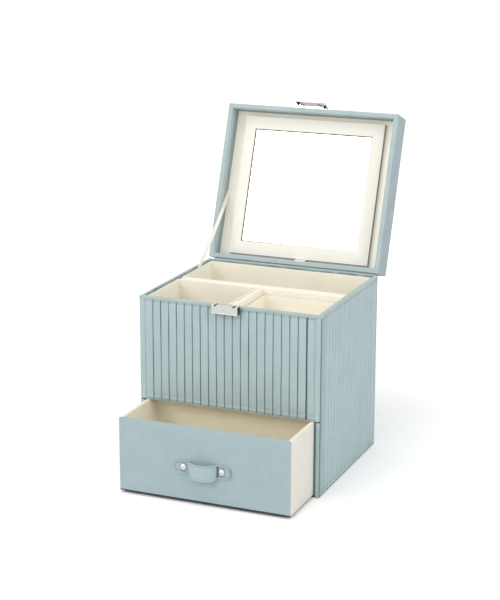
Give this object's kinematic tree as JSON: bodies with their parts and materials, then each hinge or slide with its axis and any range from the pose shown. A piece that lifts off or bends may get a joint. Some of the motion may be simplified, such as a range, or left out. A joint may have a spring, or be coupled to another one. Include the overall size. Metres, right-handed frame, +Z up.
{
  "type": "vanity box with mirror",
  "caption": "Vanity box covered in pleated suede, with an open mirror lid on a ribbon stay, lined wells, a lift-out tray and a drawer with a strap handle.",
  "frame": {"origin": "centre of the box footprint, on the surface it stands on", "axes": "+Z up, -Y towards the drawer front, +X to the right seen from the front"},
  "size_m": [0.21, 0.3528, 0.3837],
  "materials": {
    "board": "raw fibreboard",
    "pleated_suede": "knife-pleated faux suede with a short nap",
    "blue_suede": "smooth faux suede with a short nap",
    "cream_suede": "smooth cream faux suede",
    "cream_tape": "woven ribbon",
    "nickel": "polished nickel plate",
    "silver_rivet": "satin domed rivet",
    "steel": "plain",
    "felt": "thin dark felt",
    "mirror": "silvered glass"
  },
  "bodies": {
    "carcass": {"base_felt": "felt", "base_board": "board", "side_board_left": "board", "side_board_right": "board", "back_board": "board", "shelf_board": "board", "front_board": "board", "front_cover": "pleated_suede", "side_cover_left": "pleated_suede", "side_cover_right": "pleated_suede", "back_cover": "blue_suede", "corner_strip_left": "blue_suede", "corner_strip_right": "blue_suede", "rim_binding": "blue_suede", "front_hem": "blue_suede", "bay_lining": "blue_suede", "liner_back": "cream_suede", "liner_left": "cream_suede", "liner_right": "cream_suede", "cross_divider": "cream_suede", "centre_divider": "cream_suede", "tray_ledges": "cream_suede", "clasp_base": "nickel", "clasp_screws": "nickel", "clasp_spring": "steel", "hinge_cloth": "blue_suede", "stay_ribbon": "cream_tape"},
    "press_plate": {"clasp_button": "nickel"},
    "tray": {"tray_tub": "cream_suede", "tray_pad": "cream_suede"},
    "drawer": {"drawer_front_board": "board", "drawer_front_cover": "blue_suede", "drawer_side_left": "board", "drawer_side_right": "board", "drawer_back": "board", "drawer_floor": "board", "drawer_skin": "cream_suede", "drawer_lining": "cream_suede", "drawer_pads": "cream_suede", "drawer_partition": "cream_suede", "handle_strap": "blue_suede", "handle_rivets": "silver_rivet", "rivet_washers": "silver_rivet"},
    "lid": {"lid_top_board": "board", "lid_wall_front": "board", "lid_wall_back": "board", "lid_wall_left": "board", "lid_wall_right": "board", "lid_cover": "blue_suede", "lid_inner_cloth": "blue_suede", "lid_spacer_frame": "board", "lid_lining": "cream_suede", "lid_magnets": "steel", "strike_plate": "nickel", "strike_nails": "nickel"},
    "mirror_panel": {"mirror_frame": "cream_suede", "mirror_glass": "mirror", "mirror_backing": "board", "mirror_discs": "steel", "mirror_tab": "cream_tape"}
  },
  "joints": [
    {"name": "lid_hinge", "type": "hinge", "parent": "carcass", "child": "lid", "pos_m": [0, 0.0926, 0.2032], "axis": [-1, 0, 0], "range_deg": [-109.7, 0], "deforming": ["hinge_cloth", "stay_ribbon"]},
    {"name": "drawer_slide", "type": "slide", "parent": "carcass", "child": "drawer", "axis": [0, -1, 0], "range_m": [-0.067, 0.07]},
    {"name": "tray_lift", "type": "slide", "parent": "carcass", "child": "tray", "axis": [0, 0, 1], "range_m": [0, 0.06]},
    {"name": "mirror_pull", "type": "slide", "parent": "lid", "child": "mirror_panel", "axis": [0, -0.9415, 0.3371], "range_m": [0, 0.05]},
    {"name": "clasp_press", "type": "slide", "parent": "carcass", "child": "press_plate", "axis": [0, 1, 0], "range_m": [0, 0.0007], "stiffness_N_per_m": 400, "springref_m": -0.001, "deforming": ["clasp_spring"]}
  ]
}
